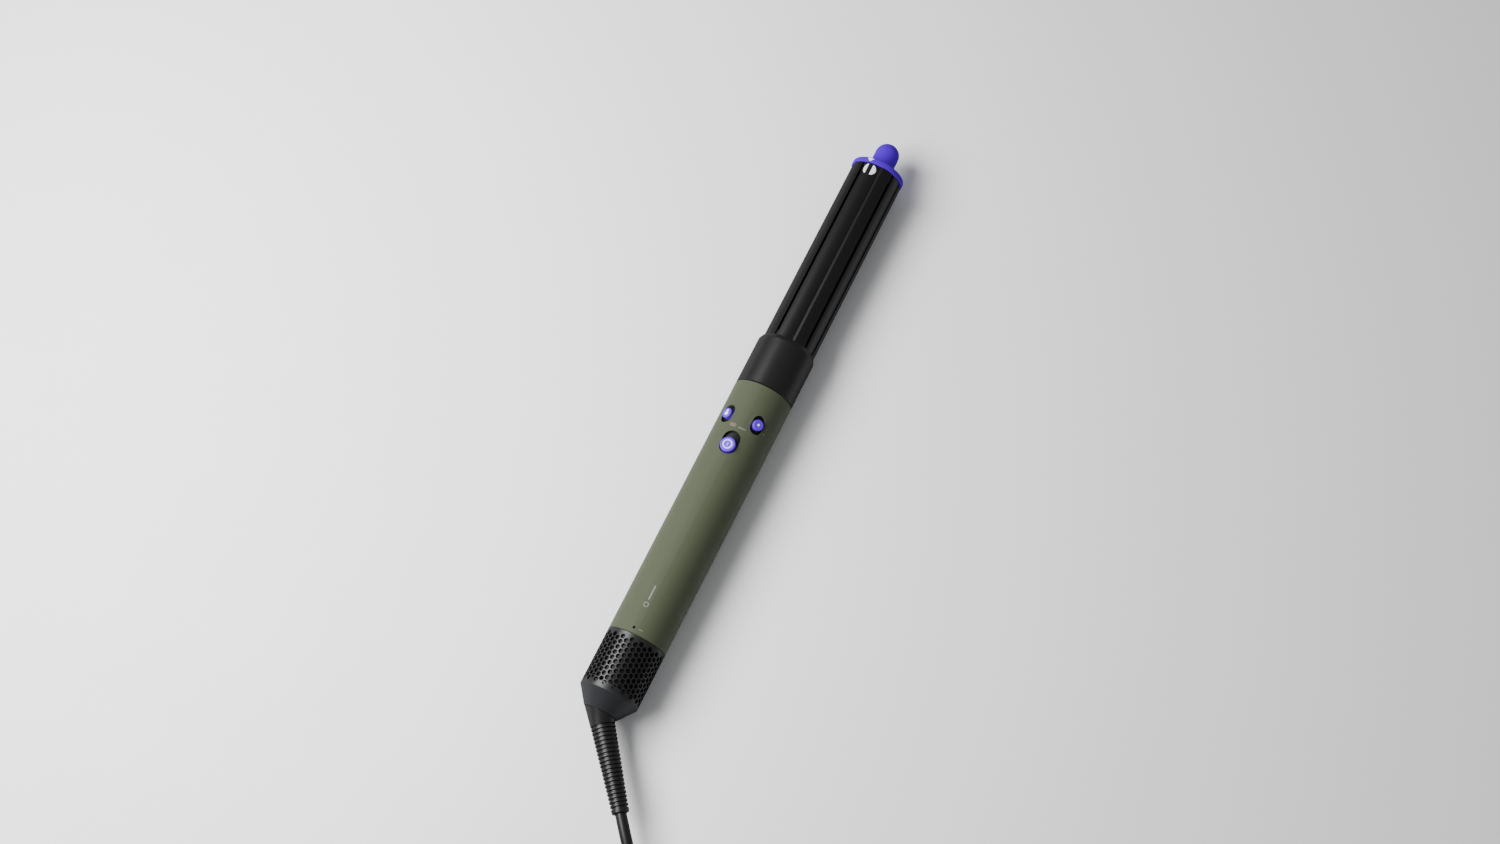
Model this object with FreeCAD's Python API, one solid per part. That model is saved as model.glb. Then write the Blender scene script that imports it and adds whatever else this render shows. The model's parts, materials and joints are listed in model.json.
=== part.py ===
import FreeCAD, Part
import math
import os
from FreeCAD import Vector

# A hand-held air styler with a curling barrel, lying on a flat surface at z = 0. Millimetres.
# The handle's axis runs along +Y at AXIS_Z, tail at -Y and tip at +Y. Shapes on that axis are made
# about the Y axis through the origin and lifted when they are written. Angles about the axis are
# degrees from straight up, positive towards +X.

# --- driving dimensions -------------------------------------------------------------------------
COLLAR_R = 20.5            # the widest round, which the object rests on
AXIS_Z = COLLAR_R
HALF_LENGTH = 222.25
CLEAR = 0.3                # usual gap between pieces of different bodies

# stations along the axis
TAIL_Y = -HALF_LENGTH
CONE_Y = -210.0            # cone meets cage
SHELL_TAIL_Y = -171.3      # cage meets handle shell
SHELL_TOP_Y = 15.35        # handle shell meets collar
SPIGOT_TOP_Y = 49.7
SHOULDER_Y = 50.65         # collar starts to narrow
BARREL_Y = 53.35           # collar ends, barrel starts
COLLAR_END_R = 18.9
BARREL_TOP_Y = 195.2
FLANGE_Y = 195.5
FLANGE_TOP_Y = 199.6
TIP_Y = HALF_LENGTH

# handle shell
SHELL_TAIL_R = 20.15
SHELL_IN_R = 18.6
SEAM = 0.4                 # dark joint between shell and collar

# controls
CONTROL_TURN = -7.7        # line of the power slider and the light
SIDE_TURN = 32.8           # small sliders, either side of that line
SLOT_GAP = 0.8
POWER_R = 5.2
POWER_SLOT_Y = -29.9
POWER_TRAVEL = 4.8
SMALL_R = 3.7
SMALL_SLOT_Y = -11.1
SMALL_TRAVEL = 2.2         # each way
PLATE_OUT_R = 18.3
PLATE_IN_R = 17.0
BED_OUT_R = 16.6
BED_IN_R = 15.4
LIGHT_Y = -167.5
LIGHT_R = 0.95

# inlet cage and cone
CAGE_R = 20.1
CAGE_IN_R = 18.8
HOLE_R = 1.6
HOLE_COLUMNS = 38
HOLES_PER_COLUMN = 9
HOLE_PITCH = 3.73
FIRST_HOLE_Y = -207.1
CONE_END_R = 11.35
NECK_R = 10.2

# motor
BUCKET_R = 16.5
BUCKET_IN_R = 15.5
BUCKET_Y = -160.0
BUCKET_TOP_Y = -108.0
SHAFT_R = 1.5
BEARING_R = 4.0
BLADE_COUNT = 13
IMPELLER_R = 13.2

# heater and outlet
SPIGOT_R = 16.0
SPIGOT_IN_R = 14.8
HEATER_R = 14.6
HEATER_Y = -34.0
HEATER_TOP_Y = 12.0
RING_COUNT = 7

# barrel
VANE_COUNT = 5
VANE_STEP = 360 / VANE_COUNT
VANE_START = 9.2
VANE_SPAN = 29.0
VANE_R = 18.8
VANE_IN_R = 17.5
NOSE_R = 17.9              # height of a vane's near edge
NOSE_SPAN = 4.8            # degrees over which the near edge slopes up to the full radius
VANE_CREST_R = 18.75
VANE_END_R = 18.5
PANEL_TUCK = 3.8           # degrees that a panel runs on under the vane's near edge
AIR_SLOT = 6.3             # degrees left open past the vane's far edge
PANEL_START_R = 18.45
PANEL_CREST_R = 18.15
PANEL_END_R = 17.0
PANEL_WALL = 1.0
CORE_IN_R = 15.6
SLEEVE_R = 15.3
SLEEVE_IN_R = 14.5
TIP_TWIST = 11.0           # degrees between the two air directions

# tip
FLANGE_R = 19.1
KNOB_R = 8.5

# strain relief, which leaves the cone towards +X
BOOT_TURN = 38.5
MOUTH_R = 11.0
BOOT_START = 8.25
BOOT_END = 64.8
BOOT_R = 7.95
BOOT_END_R = 5.55
RIB_COUNT = 21
RIB_PITCH = 2.62
RIB_DEPTH = 1.1

# mains lead, put away as a coil with its plug beside it
CORD_D = 7.4
CORD_R = CORD_D / 2
COIL_BASE_Z = 0.8
COIL_LAYERS = 4
TURN_GAP = 7.5             # from one turn to the next
COIL_MID_R = 6 * CORD_D
COIL_OUT_R = COIL_MID_R + TURN_GAP
LEAD_REACH = 70.0          # from the boot to the coil
PLUG_WIDE = 35.3
PLUG_HIGH = 26.1
PLUG_Z = PLUG_HIGH / 2
PLUG_BOOT_LONG = 22.0
PLUG_TAPER_LONG = 13.0
PLUG_FACE_LONG = 22.0
PIN_R = 2.4
PIN_LONG = 19.0
PIN_PITCH = 19.0
PLUG_TURN = 70.0           # from straight back towards -X

ORIGIN = Vector(0, 0, 0)
ALONG = Vector(0, 1, 0)
UP = Vector(0, 0, 1)
BOOT_DIRECTION = Vector(math.sin(math.radians(BOOT_TURN)), -math.cos(math.radians(BOOT_TURN)), 0)
COIL_SIDE = Vector(BOOT_DIRECTION.y, -BOOT_DIRECTION.x, 0)   # to the right of the lead's run
BACK = Vector(0, -1, 0)
LEFT = Vector(-1, 0, 0)
PLUG_DIRECTION = Vector(-math.sin(math.radians(PLUG_TURN)), -math.cos(math.radians(PLUG_TURN)), 0)
CONE_CENTRE = Vector(0, TAIL_Y, AXIS_Z)


# --- building helpers ---------------------------------------------------------------------------
def save(name, shape, lift=AXIS_Z):
    """Write one sub-part, raised to the handle's axis unless lift says otherwise."""
    placed = shape.copy()
    placed.translate(Vector(0, 0, lift))
    for solid in placed.Solids:
        if not solid.isValid() or solid.Volume <= 0:
            print("CHECK", name, solid.isValid(), solid.Volume)
    placed.exportStep("parts/" + name + ".step")


def rod(radius, y0, y1):
    return Part.makeCylinder(radius, y1 - y0, Vector(0, y0, 0), ALONG)


def tube(r_out, r_in, y0, y1):
    return rod(r_out, y0, y1).cut(rod(r_in, y0, y1))


def turn(shape, angle):
    turned_shape = shape.copy()
    turned_shape.rotate(ORIGIN, ALONG, angle)
    return turned_shape


def turned(points, angle=360):
    """Solid turned about the Y axis from (radius, y) corners."""
    corners = [Vector(0, y, r) for r, y in points]
    face = Part.Face(Part.makePolygon(corners + corners[:1]))
    return face.revolve(ORIGIN, ALONG, angle)


def sector(r_out, r_in, y0, y1, start, end):
    """Part of a tube, from one angle to another."""
    wedge = turned([(r_in, y0), (r_out, y0), (r_out, y1), (r_in, y1)], end - start)
    return turn(wedge, start)


def fused(shapes):
    whole = shapes[0].multiFuse(shapes[1:]) if len(shapes) > 1 else shapes[0]
    return whole.removeSplitter()


def around(shape, count, start=0.0):
    """Copies of a shape spread evenly about the axis."""
    return [turn(shape, start + 360 * k / count) for k in range(count)]


def round_edges(shape, radius, wanted):
    return shape.makeFillet(radius, [edge for edge in shape.Edges if wanted(edge)])


def stadium_wire(width, length, height, middle=0.0):
    """Closed outline with round ends, its length along Y, at z = height."""
    r = width / 2
    h = length / 2 - r
    right_low = Vector(r, middle - h, height)
    right_high = Vector(r, middle + h, height)
    left_high = Vector(-r, middle + h, height)
    left_low = Vector(-r, middle - h, height)
    top = Part.Arc(right_high, Vector(0, middle + h + r, height), left_high)
    bottom = Part.Arc(left_low, Vector(0, middle - h - r, height), right_low)
    right = Part.makeLine(right_low, right_high)
    left = Part.makeLine(left_high, left_low)
    return Part.Wire([right, top.toShape(), left, bottom.toShape()])


def stadium(width, length, middle, z0, z1):
    outline = Part.Face(stadium_wire(width, length, z0, middle))
    return outline.extrude(Vector(0, 0, z1 - z0))


# --- controls -----------------------------------------------------------------------------------
def sliders():
    """Name, angle, slot centre, button centre, button radius, travel each way, top radius."""
    power_rest = POWER_SLOT_Y - POWER_TRAVEL / 2
    yield "power", CONTROL_TURN, POWER_SLOT_Y, power_rest, POWER_R, (0, POWER_TRAVEL), 22.3
    for name, side in (("heat", -SIDE_TURN), ("flow", SIDE_TURN)):
        travel = (-SMALL_TRAVEL, SMALL_TRAVEL)
        yield name, CONTROL_TURN + side, SMALL_SLOT_Y, SMALL_SLOT_Y, SMALL_R, travel, 21.8


def slot_size(radius, travel):
    width = 2 * (radius + SLOT_GAP)
    return width, width + travel[1] - travel[0]


def slider_parts():
    for name, angle, slot_y, rest_y, radius, travel, top in sliders():
        width, length = slot_size(radius, travel)
        plate_low = slot_y - length / 2 - travel[1] - 0.8
        plate_high = slot_y + length / 2 - travel[0] + 0.8
        middle = (plate_low + plate_high) / 2
        plate = stadium(width + 0.3, plate_high - plate_low, middle, 0, COLLAR_R)
        plate = plate.common(tube(PLATE_OUT_R, PLATE_IN_R, plate_low - 1, plate_high + 1))
        button = Part.makeCylinder(radius, top, Vector(0, rest_y, 0), UP)
        button = round_edges(button, 0.8, lambda edge: edge.BoundBox.ZMin > top - 0.1)
        button = button.cut(rod(PLATE_OUT_R, rest_y - 9, rest_y + 9))
        save(name + "_slide", turn(plate, angle))
        save(name + "_button", turn(button, angle))


def control_bed():
    bed = sector(BED_OUT_R, BED_IN_R, -47, 4, CONTROL_TURN - 60, CONTROL_TURN + 60)
    for name, angle, slot_y, rest_y, radius, travel, top in sliders():
        window = Part.makeBox(3, 8, 4, Vector(-1.5, slot_y - 4, BED_IN_R - 1.5))
        bed = bed.cut(turn(window, angle))
    return bed


def sensor_board():
    return sector(BED_IN_R - 0.1, BED_IN_R - 0.6, -42, 0, CONTROL_TURN - 45, CONTROL_TURN + 45)


# --- handle -------------------------------------------------------------------------------------
def handle_shell():
    edge = 0.4
    shell = turned([
        (SHELL_IN_R, SHELL_TAIL_Y), (SHELL_TAIL_R - edge, SHELL_TAIL_Y),
        (SHELL_TAIL_R, SHELL_TAIL_Y + edge), (COLLAR_R, SHELL_TOP_Y - edge),
        (COLLAR_R - edge, SHELL_TOP_Y), (SHELL_IN_R, SHELL_TOP_Y)])
    for name, angle, slot_y, rest_y, radius, travel, top in sliders():
        width, length = slot_size(radius, travel)
        cutter = stadium(width, length, slot_y, SHELL_IN_R - 4, COLLAR_R + 2)
        shell = shell.cut(turn(cutter, angle))
    light = Part.makeCylinder(LIGHT_R, 6, Vector(0, LIGHT_Y, SHELL_IN_R - 2), UP)
    return shell.cut(turn(light, CONTROL_TURN))


def light_pipe():
    pipe = Part.makeCylinder(LIGHT_R - 0.05, 0.6, Vector(0, LIGHT_Y, SHELL_IN_R), UP)
    return turn(pipe, CONTROL_TURN)


def tail_frame():
    ring = tube(18.5, 16.0, SHELL_TAIL_Y + 0.1, -164)
    disc = tube(17.2, NECK_R + 0.05, -209, -206)
    rib = sector(18.0, 16.4, -206.5, SHELL_TAIL_Y + 0.5, -5, 5)
    foot = sector(18.0, NECK_R + 2, -207.5, -206, -5, 5).common(rod(17.2, -208, -205))
    return fused([ring, disc] + around(rib, 4, 45) + around(foot, 4, 45))


def filter_screen():
    return tube(18.3, 18.05, -204, -172.5)


def cage_holes():
    """One drill per hole, in staggered columns."""
    drills = []
    for column in range(HOLE_COLUMNS):
        first = FIRST_HOLE_Y + (0 if column % 2 else HOLE_PITCH / 2)
        for row in range(HOLES_PER_COLUMN):
            centre = Vector(0, first + row * HOLE_PITCH, CAGE_IN_R - 1)
            drill = Part.makeCylinder(HOLE_R, 4, centre, UP)
            drills.append(turn(drill, 360 * column / HOLE_COLUMNS))
    return drills


def filter_cage():
    band = tube(CAGE_R, CAGE_IN_R, CONE_Y, SHELL_TAIL_Y - CLEAR)
    return band.cut(Part.makeCompound(cage_holes()))


def tail_cone():
    wall = 1.6
    bore = NECK_R + 0.4
    return turned([
        (CAGE_IN_R - 1.2, CONE_Y + 3), (CAGE_IN_R - 0.05, CONE_Y + 3), (CAGE_IN_R - 0.05, CONE_Y),
        (CAGE_R, CONE_Y), (CAGE_R, CONE_Y - 0.8), (CONE_END_R + 0.3, TAIL_Y + 0.1),
        (CONE_END_R, TAIL_Y), (bore, TAIL_Y), (bore, TAIL_Y + wall),
        (CAGE_IN_R - 1.2, CONE_Y - 0.4)])


def cord_clamp():
    block = Part.makeBox(18, 7, 12, Vector(-9, -203.5, -6))
    block = block.cut(rod(CORD_R, -204, -196))
    for x in (-6.5, 6.5):
        block = block.cut(Part.makeCylinder(1.25, 14, Vector(x, -200, -7), UP))
    return block


def clamp_screws():
    screws = []
    for x in (-6.5, 6.5):
        shank = Part.makeCylinder(1.2, 11, Vector(x, -200, -5), UP)
        head = Part.makeCylinder(2.2, 1.6, Vector(x, -200, 6), UP)
        screws.append(shank.fuse(head))
    return Part.makeCompound(screws)


# --- motor --------------------------------------------------------------------------------------
def bearing_frame(y0, y1):
    """Spider that holds one bearing in the motor bucket."""
    rim = tube(BUCKET_IN_R - 0.05, 13.5, y0, y1)
    hub = tube(BEARING_R + 1.6, BEARING_R, y0, y1)
    arm = Part.makeBox(2.4, y1 - y0 - 1, 9.5, Vector(-1.2, y0 + 0.5, BEARING_R + 0.6))
    return fused([rim, hub] + around(arm, 3, 60))


def stator_core():
    yoke = tube(13.3, 11.2, -150, -136)
    pole = Part.makeBox(4, 14, 3.8, Vector(-2, -150, 7.9))
    return fused([yoke] + around(pole, 4, 45))


def stator_coils():
    coil = Part.makeBox(8.4, 17.6, 1.6, Vector(-4.2, -151.8, 8.4))
    coil = coil.cut(Part.makeBox(4.2, 14.2, 4, Vector(-2.1, -150.1, 8)))
    return Part.makeCompound(around(coil, 4, 45))


def bearing(y0):
    return tube(BEARING_R - 0.02, SHAFT_R + 0.05, y0, y0 + 4)


def impeller():
    bore = rod(SHAFT_R, -127, -116)
    hub = turned([(0, -126), (4.5, -126), (8.6, -118), (0, -118)])
    blade = Part.makeBox(0.8, 16, 11, Vector(-0.4, -130, 3))
    blade.rotate(Vector(0, -122, 0), UP, 38)
    blade = blade.common(tube(IMPELLER_R, 3, -125.8, -118.2))
    return fused([hub] + around(blade, BLADE_COUNT)).cut(bore)


def diffuser():
    rim = tube(BUCKET_IN_R - 0.05, IMPELLER_R + 0.35, -127, -109)
    hub = rod(8.6, -116.5, -109)
    vane = Part.makeBox(0.8, 7, 6.5, Vector(-0.4, -116.2, 7.8))
    return fused([rim, hub] + around(vane, 11))


def rotor_parts():
    save("motor_shaft", rod(SHAFT_R, -159, -117.5))
    save("rotor_magnet", tube(7.3, SHAFT_R, -150, -136))
    save("impeller", impeller())


def motor_parts():
    save("motor_bucket", tube(BUCKET_R, BUCKET_IN_R, BUCKET_Y, BUCKET_TOP_Y))
    save("motor_mount_rear", tube(SHELL_IN_R, BUCKET_R, BUCKET_Y + 2, BUCKET_Y + 8))
    save("motor_mount_front", tube(SHELL_IN_R, BUCKET_R, BUCKET_TOP_Y - 8, BUCKET_TOP_Y - 2))
    save("bearing_frame_rear", bearing_frame(-158.5, -153.5))
    save("bearing_frame_front", bearing_frame(-133.5, -128.5))
    save("bearing_rear", bearing(-158))
    save("bearing_front", bearing(-133))
    save("stator_core", stator_core())
    save("stator_coils", stator_coils())
    save("diffuser", diffuser())


# --- electronics --------------------------------------------------------------------------------
def board_tray():
    tray = sector(SHELL_IN_R, 17.4, -105, -50, 125, 235)
    rail = Part.makeBox(2, 55, 3.4, Vector(11.6, -105, -12.6))
    far_rail = Part.makeBox(2, 55, 3.4, Vector(-13.6, -105, -12.6))
    return fused([tray, rail, far_rail])


def choke():
    return Part.makeTorus(6.5, 2.6, Vector(0, -67, -7.4 + 2.6), UP)


def heat_sink():
    base = Part.makeBox(16, 2, 9, Vector(-8, -56, -7.6))
    fins = [Part.makeBox(1.2, 5, 9, Vector(x, -54.2, -7.6)) for x in (-8, -3.4, 2.2, 6.8)]
    return fused([base] + fins)


def electronics():
    save("board_tray", board_tray())
    save("mains_board", Part.makeBox(27, 53, 1.6, Vector(-13.5, -104, -9.2)))
    save("capacitor", rod(6.0, -100, -77).translated(Vector(0, 0, -1.6)))
    save("choke", choke())
    save("heat_sink", heat_sink())


# --- heater and outlet --------------------------------------------------------------------------
def heater_rings(wire_r):
    first = HEATER_Y + 6
    return [
        Part.makeTorus(11.0, wire_r, Vector(0, first + 5 * k, 0), ALONG) for k in range(RING_COUNT)]


def heater_cross():
    plate = Part.makeBox(27.6, 36, 0.8, Vector(-13.8, HEATER_Y + 3, -0.4))
    cross = fused([plate, turn(plate, 90)])
    return cross.cut(Part.makeCompound(heater_rings(0.6)))


def thermal_fuse():
    return rod(1.6, HEATER_Y + 8, HEATER_Y + 20).translated(Vector(4.5, 0, 4.5))


def thermistor():
    return rod(1.0, 8, 14).translated(Vector(-5, 0, 5))


def spigot():
    flange = tube(SHELL_IN_R - 0.05, SPIGOT_IN_R, 9, SHELL_TOP_Y - 0.1)
    body = tube(SPIGOT_R, SPIGOT_IN_R, 9, SPIGOT_TOP_Y)
    bars = Part.makeBox(30, 2.4, 1.8, Vector(-15, SPIGOT_TOP_Y - 4, -0.9))
    bars = fused([bars, turn(bars, 90)]).common(rod(SPIGOT_IN_R + 0.5, 40, SPIGOT_TOP_Y))
    whole = fused([flange, body, bars])
    seal_groove = tube(SPIGOT_R + 1, 15.3, 21.9, 24.1)
    detent_groove = tube(SPIGOT_R + 1, 15.5, 41.3, 42.7)
    return whole.cut(seal_groove).cut(detent_groove)


def spigot_rings():
    seal = Part.makeTorus(16.2, 0.85, Vector(0, 23, 0), ALONG)
    detent = Part.makeTorus(16.15, 0.6, Vector(0, 42, 0), ALONG)
    gap = sector(18, 14, 41, 43, 170, 190)
    save("spigot_seal", seal)
    save("detent_ring", detent.cut(gap))


def heater_parts():
    save("heater_sleeve", tube(HEATER_R, HEATER_R - 0.5, HEATER_Y, HEATER_TOP_Y))
    save("heater_cross", heater_cross())
    save("heater_rings", Part.makeCompound(heater_rings(0.5)))
    save("thermal_fuse", thermal_fuse())
    save("thermistor", thermistor())


# --- barrel -------------------------------------------------------------------------------------
def on_circle(radius, angle, y):
    a = math.radians(angle)
    return Vector(radius * math.sin(a), y, radius * math.cos(a))


def extruded(edges):
    """Bar along the barrel from a closed cross-section at its rear end."""
    return Part.Face(Part.Wire(edges)).extrude(Vector(0, BARREL_TOP_Y - BARREL_Y, 0))


def arc_across(radii, start, end):
    """Arc across the barrel, with the radius at its start, its middle and its end."""
    angles = (start, (start + end) / 2, end)
    return [on_circle(radius, angle, BARREL_Y) for radius, angle in zip(radii, angles)]


def barrel_collar():
    mouth_r = VANE_IN_R + 0.02
    bore = 17.2
    edge = 0.4
    collar = turned([
        (bore, SHELL_TOP_Y + SEAM), (COLLAR_R - edge, SHELL_TOP_Y + SEAM),
        (COLLAR_R, SHELL_TOP_Y + SEAM + edge), (COLLAR_R, SHOULDER_Y - 0.6),
        (COLLAR_R - 0.25, SHOULDER_Y), (COLLAR_END_R, BARREL_Y), (mouth_r, BARREL_Y),
        (mouth_r, 50), (bore, 50)])
    return collar.cut(Part.makeTorus(16.6, 0.9, Vector(0, 42, 0), ALONG))


def panel():
    start = VANE_START + VANE_SPAN - VANE_STEP + AIR_SLOT
    end = VANE_START + PANEL_TUCK
    radii = (PANEL_START_R, PANEL_CREST_R, PANEL_END_R)
    outer = arc_across(radii, start, end)
    inner = arc_across([radius - PANEL_WALL for radius in radii], start, end)
    return extruded([
        Part.Arc(*outer).toShape(), Part.makeLine(outer[2], inner[2]),
        Part.Arc(*reversed(inner)).toShape(), Part.makeLine(inner[0], outer[0])])


def barrel_core():
    rear = tube(VANE_IN_R, CORE_IN_R, 50.1, 57)
    front = tube(VANE_IN_R, CORE_IN_R, 189, BARREL_TOP_Y)
    return fused([rear, front] + around(panel(), VANE_COUNT))


def vane():
    end = VANE_START + VANE_SPAN
    nose = on_circle(NOSE_R, VANE_START, BARREL_Y)
    outer = arc_across((VANE_R, VANE_CREST_R, VANE_END_R), VANE_START + NOSE_SPAN, end)
    inner = arc_across((VANE_IN_R, VANE_IN_R, VANE_IN_R), VANE_START, end)
    return extruded([
        Part.makeLine(inner[0], nose), Part.makeLine(nose, outer[0]),
        Part.Arc(*outer).toShape(), Part.makeLine(outer[2], inner[2]),
        Part.Arc(*reversed(inner)).toShape()])


def flow_sleeve():
    sleeve = tube(SLEEVE_R, SLEEVE_IN_R, 57.5, FLANGE_Y)
    openings = []
    for angle in (VANE_START, VANE_START + VANE_SPAN - TIP_TWIST):
        window = sector(SLEEVE_R + 1, SLEEVE_IN_R - 1, 62, 186, angle - 3.5, angle + 3.5)
        openings += around(window, VANE_COUNT)
    return sleeve.cut(Part.makeCompound(openings))


def tip_cap():
    flange = rod(FLANGE_R, FLANGE_Y, FLANGE_TOP_Y)
    flange = round_edges(flange, 1.1, lambda edge: edge.Length > 6 * FLANGE_R and edge.Closed)
    boss = rod(SLEEVE_IN_R, 188, FLANGE_Y + 1)
    dome_y = TIP_Y - KNOB_R
    knob = rod(KNOB_R, FLANGE_Y + 1, dome_y)
    dome = Part.makeSphere(KNOB_R, Vector(0, dome_y, 0))
    cap = fused([flange, boss, knob, dome])

    def knob_root(edge):
        box = edge.BoundBox
        level = abs(box.YMin - FLANGE_TOP_Y) + abs(box.YMax - FLANGE_TOP_Y) < 0.01
        return level and abs(box.XMax - KNOB_R) < 0.01

    cap = round_edges(cap, 1.2, knob_root)
    return cap.cut(rod(SHAFT_R, 187, 194))


def tip_screw():
    return fused([rod(2.7, 185.5, 188), rod(SHAFT_R, 187, 193.5)])


def barrel_parts():
    save("barrel_collar", barrel_collar())
    save("barrel_core", barrel_core())
    for number, strip in enumerate(around(vane(), VANE_COUNT), start=1):
        save("barrel_vane_%d" % number, strip)
    save("flow_sleeve", flow_sleeve())
    save("tip_cap", tip_cap())
    save("tip_screw", tip_screw())


# --- strain relief ------------------------------------------------------------------------------
def aim(shape, start, direction):
    """Move a shape made along +Y from the origin onto a start point and a level direction."""
    angle = math.degrees(math.atan2(direction.y, direction.x)) - 90
    placed = shape.copy()
    placed.rotate(ORIGIN, UP, angle)
    placed.translate(start)
    return placed


def elbow():
    """Straight-sided bend from the cone's mouth to the first rib."""
    mouth = Part.makeCircle(MOUTH_R, CONE_CENTRE + BACK * CLEAR, BACK)
    first_rib = Part.makeCircle(BOOT_R, CONE_CENTRE + BOOT_DIRECTION * BOOT_START, BOOT_DIRECTION)
    return Part.makeLoft([Part.Wire(mouth), Part.Wire(first_rib)], True, True)


def ribs():
    """Ribbed taper, made along +Y from the origin."""
    long = BOOT_END - BOOT_START
    corners = [(0, 0), (BOOT_R, 0)]
    for k in range(RIB_COUNT):
        y = k * RIB_PITCH
        r = BOOT_R + (BOOT_END_R - BOOT_R) * (y + RIB_PITCH / 2) / long
        corners += [(r, y + 0.02 * RIB_PITCH), (r - RIB_DEPTH, y + 0.08 * RIB_PITCH)]
        corners += [(r - RIB_DEPTH, y + 0.40 * RIB_PITCH), (r - 0.15, y + 0.46 * RIB_PITCH)]
        corners += [(r, y + 0.56 * RIB_PITCH), (r, y + 0.90 * RIB_PITCH)]
    corners += [(BOOT_END_R, long - 0.4), (BOOT_END_R - 0.4, long), (0, long)]
    return turned(corners)


def cord_boot():
    neck = rod(NECK_R, TAIL_Y - 2 * CLEAR, -206).fuse(rod(12.2, -206, -204.2))
    neck.translate(Vector(0, 0, AXIS_Z))
    ribbed = aim(ribs(), CONE_CENTRE + BOOT_DIRECTION * BOOT_START, BOOT_DIRECTION)
    return fused([neck, elbow(), ribbed])


# --- mains lead ---------------------------------------------------------------------------------
def bent_path(points):
    """Straight runs joined by tangent arcs, each as large as its two runs allow."""
    edges = []
    last = points[0]
    for before, corner, after in zip(points, points[1:], points[2:]):
        back = before - corner
        ahead = after - corner
        reach = 0.45 * min(back.Length, ahead.Length)
        back.normalize()
        ahead.normalize()
        half_turn = (math.pi - back.getAngle(ahead)) / 2
        radius = reach / math.tan(half_turn)
        inwards = (back + ahead).normalize()
        start = corner + back * reach
        end = corner + ahead * reach
        middle = corner + inwards * (radius / math.cos(half_turn) - radius)
        edges.append(Part.makeLine(last, start))
        edges.append(Part.Arc(start, middle, end).toShape())
        last = end
        print("  bend radius %.0f" % radius)
    edges.append(Part.makeLine(last, points[-1]))
    return Part.Wire(edges)


def cord_tube(name, points):
    path = bent_path(points)
    heading = (points[1] - points[0]).normalize()
    circle = Part.Wire(Part.makeCircle(CORD_R, points[0], heading))
    tube_solid = path.makePipeShell([circle], True, False)
    expected = math.pi * CORD_R ** 2 * path.Length
    print(name, "length %.1f volume %.0f expected %.0f" % (path.Length, tube_solid.Volume, expected))
    return tube_solid


def run_points(start, direction, side, stops):
    """Route points from (distance along, distance aside, height) stops."""
    route = []
    for ahead, aside, height in stops:
        point = start + direction * ahead + side * aside
        route.append(Vector(point.x, point.y, height))
    return route


BOOT_TIP = CONE_CENTRE + BOOT_DIRECTION * BOOT_END
LOW_TURN_Z = COIL_BASE_Z + CORD_R
TOP_TURN_Z = LOW_TURN_Z + (COIL_LAYERS - 1) * TURN_GAP
COIL_ENTRY = BOOT_TIP + BOOT_DIRECTION * LEAD_REACH
COIL_CENTRE = COIL_ENTRY + COIL_SIDE * COIL_OUT_R
COIL_EXIT = COIL_CENTRE - LEFT * COIL_OUT_R
LEAD_STOPS = [(0, 0, AXIS_Z), (19, 0, 20.3), (37, -1.2, 14), (54, -1.2, 7), (LEAD_REACH, 0, LOW_TURN_Z)]
TAIL_STOPS = [(0, 0, TOP_TURN_Z), (22, 0, 25.5), (41.5, 6, 20), (55.5, 20, 15), (62, 37, PLUG_Z)]


def cord_coil():
    half = TURN_GAP + CORD_R
    high = COIL_LAYERS * TURN_GAP
    base = Vector(COIL_CENTRE.x, COIL_CENTRE.y, COIL_BASE_Z)
    ring = Part.makeCylinder(COIL_MID_R + half, high, base, UP)
    ring = ring.cut(Part.makeCylinder(COIL_MID_R - half, high, base, UP))
    return round_edges(ring, 2.5, lambda edge: edge.Closed and edge.Length > 50)


def cord_tie(coil):
    """Strap round the bundle of turns, on the side away from the lead."""
    half = TURN_GAP + CORD_R + 0.8
    high = COIL_LAYERS * TURN_GAP + 1.5
    base = Vector(COIL_CENTRE.x, COIL_CENTRE.y, 0.05)
    ring = Part.makeCylinder(COIL_MID_R + half, high, base, UP)
    ring = ring.cut(Part.makeCylinder(COIL_MID_R - half, high, base, UP))
    box = Part.makeBox(2 * half + 4, 10, high + 2, Vector(COIL_MID_R - half - 2, -5, -1))
    box.rotate(ORIGIN, UP, math.degrees(math.atan2(COIL_SIDE.y, COIL_SIDE.x)))
    box.translate(base)
    return ring.common(box).cut(coil)


def plug_body():
    def outline(width, height, y):
        wire = stadium_wire(height, width, 0)
        wire.rotate(ORIGIN, UP, 90)
        wire.rotate(ORIGIN, Vector(1, 0, 0), 90)
        wire.translate(Vector(0, y, 0))
        return wire

    grip = Part.makeLoft([outline(17, 15, 0), outline(PLUG_WIDE, PLUG_HIGH, PLUG_TAPER_LONG)], True)
    face = Part.Face(outline(PLUG_WIDE, PLUG_HIGH, PLUG_TAPER_LONG))
    front = face.extrude(Vector(0, PLUG_FACE_LONG, 0))
    return fused([grip, front])


def plug_boot():
    corners = [(0, 0), (4.8, 0)]
    for k in range(5):
        r = 4.9 + 0.28 * k
        y = 3.4 * k
        corners += [(r, y + 0.2), (r, y + 2.4), (r - 0.7, y + 2.5), (r - 0.7, y + 3.3)]
    corners += [(6.6, 17.2), (6.9, PLUG_BOOT_LONG), (0, PLUG_BOOT_LONG)]
    return turned(corners)


def plug_pins():
    pins = []
    for x in (-PIN_PITCH / 2, PIN_PITCH / 2):
        pin = Part.makeCylinder(PIN_R, PIN_LONG, Vector(x, 0, 0), ALONG)
        pins.append(round_edges(pin, 1.2, lambda edge: edge.Closed and edge.BoundBox.YMin > 1))
    return Part.makeCompound(pins)


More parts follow.
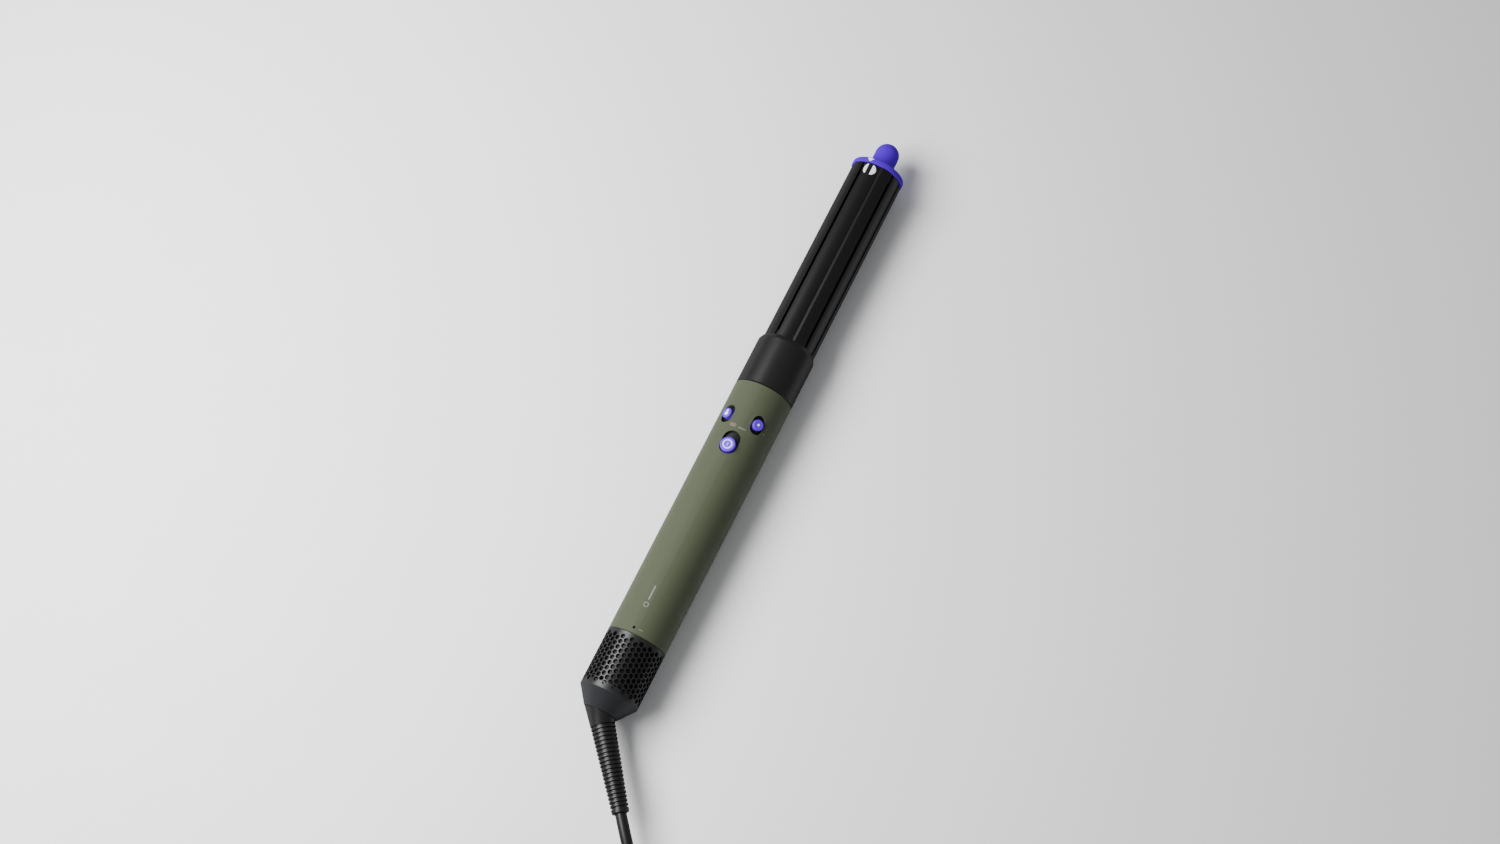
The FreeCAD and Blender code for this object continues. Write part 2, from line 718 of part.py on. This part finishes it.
def lead_parts():
    coil = cord_coil()
    save("cord_boot", cord_boot(), 0)
    lead_points = run_points(BOOT_TIP, BOOT_DIRECTION, COIL_SIDE, LEAD_STOPS)
    tail_points = run_points(COIL_EXIT, BACK, LEFT, TAIL_STOPS)
    for name, points in (("cord_lead", lead_points), ("cord_tail", tail_points)):
        save(name, cord_tube(name, points), 0)
        print([[round(c, 1) for c in p] for p in points])
    save("cord_coil", coil, 0)
    save("cord_tie", cord_tie(coil), 0)
    boot_start = tail_points[-1]
    body_start = boot_start + PLUG_DIRECTION * PLUG_BOOT_LONG
    pin_start = body_start + PLUG_DIRECTION * (PLUG_TAPER_LONG + PLUG_FACE_LONG)
    save("plug_boot", aim(plug_boot(), boot_start, PLUG_DIRECTION), 0)
    save("plug_body", aim(plug_body(), body_start, PLUG_DIRECTION), 0)
    save("plug_pins", aim(plug_pins(), pin_start, PLUG_DIRECTION), 0)
    print("coil centre", COIL_CENTRE, "pin face", pin_start, "direction", PLUG_DIRECTION)


def main():
    os.makedirs("parts", exist_ok=True)
    save("handle_shell", handle_shell())
    save("light_pipe", light_pipe())
    save("tail_frame", tail_frame())
    save("filter_screen", filter_screen())
    save("filter_cage", filter_cage())
    save("tail_cone", tail_cone())
    save("cord_clamp", cord_clamp())
    save("clamp_screws", clamp_screws())
    slider_parts()
    save("control_bed", control_bed())
    save("sensor_board", sensor_board())
    motor_parts()
    rotor_parts()
    electronics()
    heater_parts()
    save("spigot", spigot())
    spigot_rings()
    barrel_parts()
    lead_parts()


main()
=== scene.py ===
import json
import math

import bmesh
import bpy
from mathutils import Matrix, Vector
from mathutils.bvhtree import BVHTree


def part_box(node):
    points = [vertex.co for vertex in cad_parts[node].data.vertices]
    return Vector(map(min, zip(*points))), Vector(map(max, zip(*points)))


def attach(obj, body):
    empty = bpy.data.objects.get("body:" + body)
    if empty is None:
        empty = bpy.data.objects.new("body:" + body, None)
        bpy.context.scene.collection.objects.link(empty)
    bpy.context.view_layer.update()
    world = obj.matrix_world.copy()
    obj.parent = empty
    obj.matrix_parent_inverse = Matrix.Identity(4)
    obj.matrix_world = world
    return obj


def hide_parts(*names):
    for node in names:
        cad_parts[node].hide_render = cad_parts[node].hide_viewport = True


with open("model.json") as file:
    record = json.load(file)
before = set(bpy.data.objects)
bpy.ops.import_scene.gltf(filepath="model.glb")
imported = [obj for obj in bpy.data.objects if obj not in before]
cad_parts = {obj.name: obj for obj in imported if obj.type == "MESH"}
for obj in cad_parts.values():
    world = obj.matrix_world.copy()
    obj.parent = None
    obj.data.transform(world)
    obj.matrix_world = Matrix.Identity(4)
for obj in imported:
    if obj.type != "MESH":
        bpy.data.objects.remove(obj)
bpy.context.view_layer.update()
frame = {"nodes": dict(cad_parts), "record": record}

MM = 0.001
nodes = frame["nodes"]

# Places worked out from the frame. Angles about the handle's axis are degrees from straight up,
# positive towards +X.
collar_low, collar_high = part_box("barrel_collar")
AXIS_Z = (collar_low.z + collar_high.z) / 2
TAIL_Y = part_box("tail_cone")[0].y
CONTROL_TURN = -7.7
SIDE_TURN = 32.8

# ------------------------------------------------------------------------------- camera

CAMERA_AZIMUTH = 25.8
CAMERA_ELEVATION = 69.9
CAMERA_AIM_Y = -0.0051
CAMERA_DISTANCE = 1.382


def sight_line(azimuth, elevation):
    """Unit vector that a camera looks along."""
    a, e = math.radians(azimuth), math.radians(elevation)
    return Vector((-math.sin(a) * math.cos(e), math.cos(a) * math.cos(e), -math.sin(e)))


def make_camera():
    looking = sight_line(CAMERA_AZIMUTH, CAMERA_ELEVATION)
    aim = Vector((0, CAMERA_AIM_Y, AXIS_Z))
    data = bpy.data.cameras.new("camera")
    data.lens = 50
    data.sensor_width = 36
    data.clip_start = 0.01
    data.clip_end = 50
    camera = bpy.data.objects.new("camera", data)
    camera.location = aim - looking * CAMERA_DISTANCE
    camera.rotation_mode = "QUATERNION"
    camera.rotation_quaternion = looking.to_track_quat("-Z", "Y")
    bpy.context.scene.collection.objects.link(camera)
    bpy.context.scene.camera = camera


# ------------------------------------------------------------------------------- helpers


def link(name, data, material):
    piece = bpy.data.objects.new(name, data)
    bpy.context.scene.collection.objects.link(piece)
    data.materials.append(material)
    return piece


def mesh_piece(name, mesh, material):
    """Smooth-shaded object from a bmesh."""
    data = bpy.data.meshes.new(name)
    bmesh.ops.recalc_face_normals(mesh, faces=mesh.faces)
    mesh.to_mesh(data)
    mesh.free()
    for face in data.polygons:
        face.use_smooth = True
    return link(name, data, material)


def loft(rings):
    """Closed skin over rings of points that all have the same count."""
    mesh = bmesh.new()
    rows = [[mesh.verts.new(point) for point in ring] for ring in rings]
    for low, high in zip(rows, rows[1:]):
        count = len(low)
        for k in range(count):
            mesh.faces.new((low[k], low[(k + 1) % count], high[(k + 1) % count], high[k]))
    mesh.faces.new(rows[0])
    mesh.faces.new(rows[-1])
    return mesh


def radial(angle):
    a = math.radians(angle)
    return Vector((math.sin(a), 0, math.cos(a)))


def tangent(angle):
    a = math.radians(angle)
    return Vector((math.cos(a), 0, -math.sin(a)))


# ------------------------------------------------------------------------------- materials


class Shader:
    """A material's node tree, with short ways to add what the materials here share."""

    def __init__(self, name):
        self.material = bpy.data.materials.new(name)
        self.material.use_nodes = True
        self.tree = self.material.node_tree
        self.surface = self.tree.nodes["Principled BSDF"]
        self.place = self.add("ShaderNodeTexCoord").outputs["Object"]

    def add(self, kind, **settings):
        node = self.tree.nodes.new(kind)
        for key, value in settings.items():
            setattr(node, key, value)
        return node

    def join(self, source, target):
        self.tree.links.new(source, target)

    def noise(self, scale, detail=2.0, stretch=(1, 1, 1)):
        mapping = self.add("ShaderNodeMapping")
        mapping.inputs["Scale"].default_value = stretch
        self.join(self.place, mapping.inputs["Vector"])
        noise = self.add("ShaderNodeTexNoise")
        noise.inputs["Scale"].default_value = scale
        noise.inputs["Detail"].default_value = detail
        self.join(mapping.outputs[0], noise.inputs["Vector"])
        return noise.outputs["Fac"]

    def ramp(self, source, low, high):
        """A number from low to high as the source goes from 0.3 to 0.7."""
        span = self.add("ShaderNodeMapRange")
        span.inputs["From Min"].default_value = 0.3
        span.inputs["From Max"].default_value = 0.7
        span.inputs["To Min"].default_value = low
        span.inputs["To Max"].default_value = high
        self.join(source, span.inputs["Value"])
        return span.outputs["Result"]

    def blend(self, source, first, second):
        mix = self.add("ShaderNodeMix", data_type="RGBA")
        mix.inputs["A"].default_value = (*first, 1)
        mix.inputs["B"].default_value = (*second, 1)
        self.join(source, mix.inputs["Factor"])
        return mix.outputs["Result"]

    def bump(self, source, depth):
        bump = self.add("ShaderNodeBump")
        bump.inputs["Distance"].default_value = depth
        bump.inputs["Strength"].default_value = 1.0
        self.join(source, bump.inputs["Height"])
        return bump.outputs["Normal"]

    def finish(self, colour=None, rough=None, normal=None, **fixed):
        for source, name in ((colour, "Base Color"), (rough, "Roughness"), (normal, "Normal")):
            if source:
                self.join(source, self.surface.inputs[name])
        for name, value in fixed.items():
            self.surface.inputs[SOCKETS[name]].default_value = value
        return self.material


SOCKETS = {
    "metallic": "Metallic",
    "sheen_weight": "Sheen Weight",
    "coat_weight": "Coat Weight",
    "coat_roughness": "Coat Roughness",
    "coat_ior": "Coat IOR",
    "ior": "IOR",
}


def scaled(colour, factor):
    return tuple(c * factor for c in colour)


def moulded(name, colour, rough=0.45, grain=2500, depth=0.00001, tint=0.07, **fixed):
    """Plastic or rubber: fine spark grain, faint colour drift and uneven gloss."""
    shader = Shader(name)
    fine = shader.noise(grain, 3)
    broad = shader.noise(60, 3)
    spread = shader.ramp(fine, 0.0, 1.0)
    colours = shader.blend(spread, scaled(colour, 1 - tint), scaled(colour, 1 + tint))
    gloss = shader.ramp(broad, rough - 0.04, rough + 0.04)
    return shader.finish(colours, gloss, shader.bump(fine, depth), **fixed)


def metal(name, colour, rough=0.3, along=(1, 1, 1), depth=0.000004):
    """Metal with the fine lines of its working, drawn out where along is small."""
    shader = Shader(name)
    lines = shader.noise(3500, 2, along)
    colours = shader.blend(shader.ramp(lines, 0, 1), scaled(colour, 0.88), colour)
    gloss = shader.ramp(lines, rough - 0.06, rough + 0.08)
    return shader.finish(colours, gloss, shader.bump(lines, depth), metallic=1.0)


def wound(name, colour, pitch, rough=0.35):
    """Rows of wire or thread, pitch apart along Y."""
    shader = Shader(name)
    wave = shader.add("ShaderNodeTexWave", wave_type="BANDS", bands_direction="Y")
    wave.inputs["Scale"].default_value = 0.314 / pitch
    wave.inputs["Distortion"].default_value = 0.4
    shader.join(shader.place, wave.inputs["Vector"])
    rows = wave.outputs["Fac"]
    colours = shader.blend(rows, scaled(colour, 0.35), colour)
    return shader.finish(colours, shader.ramp(rows, rough, rough + 0.1), shader.bump(rows, pitch * 0.3))


def board(name):
    """Lacquered circuit board with faint copper tracks under the lacquer."""
    shader = Shader(name)
    tracks = shader.add("ShaderNodeTexVoronoi", feature="DISTANCE_TO_EDGE", distance="MANHATTAN")
    tracks.inputs["Scale"].default_value = 420
    shader.join(shader.place, tracks.inputs["Vector"])
    edge = shader.add("ShaderNodeMath", operation="LESS_THAN")
    edge.inputs[1].default_value = 0.08
    shader.join(tracks.outputs["Distance"], edge.inputs[0])
    colours = shader.blend(edge.outputs[0], (0.012, 0.10, 0.045), (0.05, 0.22, 0.09))
    gloss = shader.ramp(shader.noise(300), 0.25, 0.35)
    return shader.finish(colours, gloss, shader.bump(edge.outputs[0], 0.00002))


def mica(name):
    shader = Shader(name)
    flakes = shader.noise(260, 6)
    colours = shader.blend(shader.ramp(flakes, 0, 1), (0.42, 0.33, 0.20), (0.62, 0.55, 0.42))
    return shader.finish(colours, shader.ramp(flakes, 0.35, 0.6), shader.bump(flakes, 0.00004))


def tape(name):
    """Woven hook-and-loop tape."""
    shader = Shader(name)
    weave = shader.noise(1800, 2)
    colours = shader.blend(shader.ramp(weave, 0, 1), (0.012, 0.012, 0.014), (0.05, 0.05, 0.055))
    gloss = shader.ramp(weave, 0.75, 0.95)
    return shader.finish(colours, gloss, shader.bump(weave, 0.0002), sheen_weight=0.3)


def satin(name, colour, gloss, rough, grain=2600, depth=0.000006, tint=0.05, skin_ior=3.0):
    """Dark moulding whose shine comes from a thin even skin, gloss strong, over a matt body."""
    return moulded(name, colour, 0.6, grain, depth, tint, ior=1.05,
                   coat_weight=gloss, coat_roughness=rough, coat_ior=skin_ior)


def make_materials():
    """One material for each slot of the record, and those of the printed marks."""
    made = {
        "green_shell": moulded("green_shell", (0.047, 0.056, 0.033), 0.62, 3200, 0.000012, 0.10,
                               ior=1.22),
        "light_lens": satin("light_lens", (0.003, 0.003, 0.0035), 0.02, 0.5),
        "inner_plastic": moulded("inner_plastic", (0.02, 0.02, 0.022), 0.5),
        "black_plastic": satin("black_plastic", (0.004, 0.004, 0.0045), 0.05, 0.42),
        "steel_mesh": metal("steel_mesh", (0.02, 0.02, 0.021), 0.5),
        "steel": metal("steel", (0.55, 0.55, 0.56), 0.25, (1, 0.05, 1)),
        "circuit_board": board("circuit_board"),
        "rubber_mount": moulded("rubber_mount", (0.02, 0.02, 0.02), 0.7, 900, 0.00003),
        "motor_alloy": metal("motor_alloy", (0.52, 0.53, 0.55), 0.42),
        "copper": wound("copper", (0.62, 0.26, 0.10), 0.0006),
        "capacitor_sleeve": moulded("capacitor_sleeve", (0.012, 0.016, 0.05), 0.2),
        "mica": mica("mica"),
        "heating_wire": metal("heating_wire", (0.42, 0.38, 0.35), 0.35),
        "boot_rubber": satin("boot_rubber", (0.006, 0.006, 0.0066), 0.09, 0.36, 1500),
        "cord_rubber": satin("cord_rubber", (0.006, 0.006, 0.0064), 0.08, 0.38, 1800),
        "tie_fabric": tape("tie_fabric"),
        "plug_plastic": satin("plug_plastic", (0.008, 0.008, 0.0085), 0.08, 0.4, 1600),
        "pin_metal": metal("pin_metal", (0.72, 0.71, 0.68), 0.18),
        "violet_button": satin("violet_button", (0.080, 0.006, 0.52), 0.10, 0.45, tint=0.04),
        "violet_tip": satin("violet_tip", (0.056, 0.0003, 0.39), 0.012, 0.4, tint=0.04),
        "grey_cage": satin("grey_cage", (0.007, 0.007, 0.0072), 0.10, 0.36),
        "grey_cone": satin("grey_cone", (0.010, 0.0105, 0.012), 0.09, 0.40),
        "collar_plastic": satin("collar_plastic", (0.006, 0.006, 0.0062), 0.085, 0.34),
        "barrel_plastic": satin("barrel_plastic", (0.0008, 0.0008, 0.0008), 0.080, 0.36, 2200,
                                skin_ior=4.0),
    }
    prints = {
        "white_print": moulded("white_print", (0.72, 0.72, 0.70), 0.5, 4000),
        "lavender_print": moulded("lavender_print", (0.50, 0.43, 0.86), 0.5, 4000),
        "orange_print": moulded("orange_print", (0.088, 0.058, 0.035), 0.6, 4000),
        "pale_print": moulded("pale_print", (0.070, 0.083, 0.060), 0.6, 4000),
        "badge_print": moulded("badge_print", (0.105, 0.112, 0.090), 0.6, 4000),
    }
    return made, prints


def paint_nodes(materials):
    """Every CAD node gets its slot's material."""
    for entry in frame["record"]["subparts"]:
        node = nodes[entry["node"]]
        material = materials[entry["material_slot"]]
        if not node.material_slots:
            node.data.materials.append(material)
        for place in node.material_slots:
            place.material = material


# ------------------------------------------------------------------------------- lead

CORD_D = 7.4 * MM
TURN_GAP = 7.5 * MM
LAYERS = 4
TURNS_PER_LAYER = 2
BOOT_TURN = math.radians(38.5)
BOOT_WAY = Vector((math.sin(BOOT_TURN), -math.cos(BOOT_TURN), 0))
COIL_SIDE = Vector((BOOT_WAY.y, -BOOT_WAY.x, 0))
BOOT_END = 64.8 * MM
BOOT_TIP = Vector((0, TAIL_Y, AXIS_Z)) + BOOT_WAY * BOOT_END
LOW_TURN_Z = 4.5 * MM
COIL_MID_R = 6 * CORD_D
COIL_OUT_R = COIL_MID_R + TURN_GAP
BACK = Vector((0, -1, 0))
LEFT = Vector((-1, 0, 0))
LEAD_STOPS = [(0, 0, 20.5), (19, 0, 20.3), (37, -1.2, 14), (54, -1.2, 7), (70, 0, 4.5)]
TAIL_STOPS = [(0, 0, 27), (22, 0, 25.5), (41.5, 6, 20), (55.5, 20, 15), (62, 37, 13.05)]


def run_points(start, way, side, stops):
    """Route points from (distance along, distance aside, height) stops, in millimetres."""
    route = []
    for ahead, aside, height in stops:
        point = start + way * ahead * MM + side * aside * MM
        route.append(Vector((point.x, point.y, height * MM)))
    return route


def coil_points(centre, start_angle):
    """Turns that spiral in and out by layers, one turn gap apart, and then on round to the +X side."""
    per_turn = 24
    turns = LAYERS * TURNS_PER_LAYER + start_angle / (2 * math.pi)
    pull = 1 / (0.75 + 0.25 * math.cos(2 * math.pi / per_turn))
    points = []
    for k in range(1, int(turns * per_turn)):
        t = k / per_turn
        layer = min(int(t / TURNS_PER_LAYER), LAYERS - 1)
        across = min(t / TURNS_PER_LAYER - layer, 1.0)
        inwards = across if layer % 2 == 0 else 1 - across
        radius = COIL_OUT_R - TURN_GAP * TURNS_PER_LAYER * inwards
        lift = max(0.0, (across - 0.93) / 0.07) if layer < LAYERS - 1 else 0.0
        height = LOW_TURN_Z + TURN_GAP * (layer + lift)
        angle = start_angle - 2 * math.pi * t
        way = Vector((math.cos(angle), math.sin(angle), 0))
        points.append(Vector((centre.x, centre.y, height)) + way * radius * pull)
    return points


STRAP_HALF_WIDE = 8.3 * MM
STRAP_HALF_HIGH = 14.93 * MM
STRAP_CORNER = 3.4 * MM
STRAP_THICK = 0.8 * MM
# The strap's cross-section: millimetres across its width, and parts of its thickness.
STRAP_SECTION = [
    (-7, 0.15), (-6.6, 0), (6.6, 0), (7, 0.15), (7, 0.85), (6.6, 1), (-6.6, 1), (-7, 0.85)]
LAP_STEPS = 9
LAP_LIFT = 1.15


def make_tie(centre, materials):
    """Strap round the bundle of turns on the side away from the lead, its end laid over itself."""
    across = Vector((-COIL_SIDE.y, COIL_SIDE.x, 0))
    middle = Vector((centre.x, centre.y, LOW_TURN_Z + 1.5 * TURN_GAP)) + COIL_SIDE * COIL_MID_R
    outline = []
    for u_side, z_side, first in ((1, 1, 0), (1, -1, -90), (-1, -1, -180), (-1, 1, -270)):
        hub = (u_side * (STRAP_HALF_WIDE - STRAP_CORNER), z_side * (STRAP_HALF_HIGH - STRAP_CORNER))
        for k in range(7):
            a = math.radians(first + 90 - 15 * k)
            outline.append((hub, (math.cos(a), math.sin(a))))
    laps = len(outline)
    rings = []
    for k in range(laps + LAP_STEPS):
        hub, out = outline[k % laps]
        lift = STRAP_THICK * LAP_LIFT * min(1.0, max(0.0, (k - laps + 5) / 5))
        ring = []
        for side, level in STRAP_SECTION:
            reach = STRAP_CORNER + lift + STRAP_THICK * level
            u = hub[0] + out[0] * reach
            z = hub[1] + out[1] * reach
            ring.append(middle + COIL_SIDE * u + Vector((0, 0, z)) + across * side * MM)
        rings.append(ring)
    piece = mesh_piece("strap", loft(rings), materials["tie_fabric"])
    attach(piece, "handle")
    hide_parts("cord_tie")
    return piece


def make_cord(materials):
    """The whole lead as one cord, from the strain relief round its turns to the plug."""
    lead = run_points(BOOT_TIP, BOOT_WAY, COIL_SIDE, LEAD_STOPS)
    centre = lead[-1] + COIL_SIDE * COIL_OUT_R
    start_angle = math.atan2(-COIL_SIDE.y, -COIL_SIDE.x)
    tail = run_points(centre - LEFT * COIL_OUT_R, BACK, LEFT, TAIL_STOPS)
    route = lead + coil_points(centre, start_angle) + tail
    curve = bpy.data.curves.new("mains_cord", "CURVE")
    curve.dimensions = "3D"
    curve.bevel_depth = CORD_D / 2
    curve.bevel_resolution = 6
    curve.resolution_u = 6
    spline = curve.splines.new("NURBS")
    spline.points.add(len(route) - 1)
    for target, point in zip(spline.points, route):
        target.co = (*point, 1)
    spline.order_u = 3
    spline.use_endpoint_u = True
    piece = link("mains_cord", curve, materials["cord_rubber"])
    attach(piece, "handle")
    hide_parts("cord_lead", "cord_coil", "cord_tail")
    ends = [nodes[name] for name in ("cord_boot", "plug_boot", "plug_body", "plug_pins")]
    ends + [make_tie(centre, materials)]


# ------------------------------------------------------------------------------- printed marks


MARK_START_R = 0.05        # marks are dropped onto the surface from this far off the axis
MARK_LIFT = 0.00004
MARK_THICK = 0.00008
MARK_EDGE = 0.6            # longest edge of a mark's mesh, in millimetres


def print_on(name, outlines, node, angle, y, material, body):
    """Thin printed mark: outlines in (across, along) millimetres, laid onto a node from outside."""
    tree = BVHTree.FromPolygons(
        [v.co for v in nodes[node].data.vertices], [p.vertices for p in nodes[node].data.polygons])
    out = radial(angle)
    across = tangent(angle)
    mesh = bmesh.new()
    for outline in outlines:
        mesh.faces.new([mesh.verts.new((u, v, 0)) for u, v in outline])
    bmesh.ops.triangulate(mesh, faces=mesh.faces)
    for _ in range(4):
        long_edges = [e for e in mesh.edges if e.calc_length() > MARK_EDGE]
        if not long_edges:
            break
        bmesh.ops.subdivide_edges(mesh, edges=long_edges, cuts=1)
        bmesh.ops.triangulate(mesh, faces=mesh.faces)
    for vertex in mesh.verts:
        start = Vector((0, y, AXIS_Z)) + out * MARK_START_R
        start += across * vertex.co.x * MM + Vector((0, vertex.co.y * MM, 0))
        hit = tree.ray_cast(start, -out)[0]
        if hit is None:
            raise ValueError("mark %s misses %s" % (name, node))
        vertex.co = hit + out * MARK_LIFT
    piece = mesh_piece(name, mesh, material)
    body_of_mark = piece.modifiers.new("thickness", "SOLIDIFY")
    body_of_mark.thickness = MARK_THICK
    body_of_mark.offset = 0
    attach(piece, body)


def disc(u, v, radius, count=24):
    angles = [2 * math.pi * k / count for k in range(count)]
    return [(u + radius * math.cos(a), v + radius * math.sin(a)) for a in angles]


def arc_band(radius, width, start, end, count=28):
    """Outline of part of a ring, angles in degrees anticlockwise from across."""
    angles = [math.radians(start + (end - start) * k / count) for k in range(count + 1)]
    outer = [((radius + width / 2) * math.cos(a), (radius + width / 2) * math.sin(a)) for a in angles]
    inner = [((radius - width / 2) * math.cos(a), (radius - width / 2) * math.sin(a)) for a in angles]
    return outer + inner[::-1]


def bar(u, v, long, wide):
    """Bar with round ends, lying across."""
    r = wide / 2
    h = long / 2 - r
    right = [(u + h + r * math.cos(a), v + r * math.sin(a)) for a in
             [math.radians(-90 + 22.5 * k) for k in range(9)]]
    left = [(u - h + r * math.cos(a), v + r * math.sin(a)) for a in
            [math.radians(90 + 22.5 * k) for k in range(9)]]
    return right + left


def half_oval(width, length, side, point=0.0):
    """Half an oval, flat on one side; point draws its round side out to a blunt corner."""
    outline = []
    for k in range(17):
        a = math.radians(-90 + 180 * k / 16)
        pull = 1 + point * (1 - abs(2 * k / 16 - 1))
        outline.append((side * width * math.cos(a) * pull, length / 2 * math.sin(a)))
    return outline


def middle_y(name):
    low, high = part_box(name)
    return (low.y + high.y) / 2


BADGE_Y = -0.1440


def make_marks(prints):
    white = prints["white_print"]
    lavender = prints["lavender_print"]
    power_y = middle_y("power_button")
    rings = [arc_band(2.85, 1.15, start, start + 180) for start in (0, 180)]
    stroke = [(-0.32, -1.15), (0.32, -1.15), (0.32, 1.15), (-0.32, 1.15)]
    print_on("power_symbol", rings + [stroke], "power_button", CONTROL_TURN, power_y, lavender,
             "power_slider")
    print_on("heat_symbol", [disc(0.2, -0.55, 1.45), disc(0.2, 1.55, 0.85)], "heat_button",
             CONTROL_TURN - SIDE_TURN, middle_y("heat_button"), white, "heat_slider")
    print_on("flow_symbol", [disc(0, 0, 0.8)], "flow_button", CONTROL_TURN + SIDE_TURN,
             middle_y("flow_button"), white, "flow_slider")
    arrow_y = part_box("barrel_core")[1].y - 4.6 * MM
    print_on("arrow_left", [half_oval(2.3, 7.6, -1)], "barrel_core", -17.8, arrow_y, white,
             "barrel")
    print_on("arrow_right", [half_oval(2.8, 7.6, 1, 0.2)], "barrel_core", -7.8, arrow_y, white,
             "barrel")
    flange_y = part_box("flow_sleeve")[1].y
    print_on("pointer", [[(-2.6, 3.2), (0, 0.7), (2.6, 3.2)]], "tip_cap", -18.6, flange_y, white,
             "tip")
    # name, ink, angle, place along the handle, length and width, in degrees and millimetres
    dashes = (
        ("heat_mark", "orange_print", -17.5, -17.7, 5.4, 2.8),
        ("flow_mark", "pale_print", 2.5, -18.2, 6.0, 1.4),
        ("hot_mark", "orange_print", 45.0, -9.9, 1.4, 1.2),
        ("low_mark", "pale_print", 45.0, -14.0, 1.5, 1.0),
        ("light_mark", "pale_print", 6.5, -167.5, 3.4, 0.9))
    for name, ink, turn, y, long, wide in dashes:
        print_on(name, [bar(0, 0, long, wide)], "handle_shell", turn, y * MM, prints[ink],
                 "handle")
    upright = [(v, u) for u, v in bar(0, 0, 10.5, 1.2)]
    badge = [arc_band(1.5, 0.8, start, start + 180) for start in (0, 180)]
    badge = [[(u, v - 6.9) for u, v in band] for band in badge] + [[(u, v + 1.6) for u, v in upright]]
    print_on("badge", badge, "handle_shell", -6.8, BADGE_Y, prints["badge_print"],
             "handle")


# ------------------------------------------------------------------------------- stage


def area_light(name, way, distance, size, power, aim):
    """Rectangular light that shines on aim from a direction."""
    data = bpy.data.lights.new(name, "AREA")
    data.shape = "RECTANGLE"
    data.size, data.size_y = size
    data.energy = power
    light = bpy.data.objects.new(name, data)
    way = Vector(way).normalized()
    light.location = aim + way * distance
    light.rotation_mode = "QUATERNION"
    light.rotation_quaternion = (-way).to_track_quat("-Z", "Y")
    bpy.context.scene.collection.objects.link(light)


FLOOR_SIZE = 40
FLOOR_Z = -0.0002
KEY_WAY = (-0.55, -0.22, 0.70)
KEY_DISTANCE = 0.917
KEY_SIZE = (0.9, 0.52)
KEY_POWER = 26.5
ROOM_COLOUR = (0.97, 0.98, 1.0, 1)
ROOM_STRENGTH = 0.38


def make_stage():
    bpy.ops.mesh.primitive_plane_add(size=FLOOR_SIZE, location=(0, 0, FLOOR_Z))
    floor = bpy.context.object
    floor.name = "floor"
    shader = Shader("floor_paint")
    colours = shader.blend(shader.noise(3, 2), (0.79, 0.79, 0.795), (0.81, 0.81, 0.812))
    floor.data.materials.append(shader.finish(colours, shader.ramp(shader.noise(20), 0.6, 0.7)))
    area_light("key", KEY_WAY, KEY_DISTANCE, KEY_SIZE, KEY_POWER, Vector((0, 0, 0)))
    world = bpy.data.worlds.new("room")
    bpy.context.scene.world = world
    world.use_nodes = True
    background = world.node_tree.nodes["Background"]
    background.inputs["Color"].default_value = ROOM_COLOUR
    background.inputs["Strength"].default_value = ROOM_STRENGTH


# ------------------------------------------------------------------------------- run

make_camera()
materials, prints = make_materials()
make_cord(materials)
paint_nodes(materials)
make_marks(prints)
make_stage()
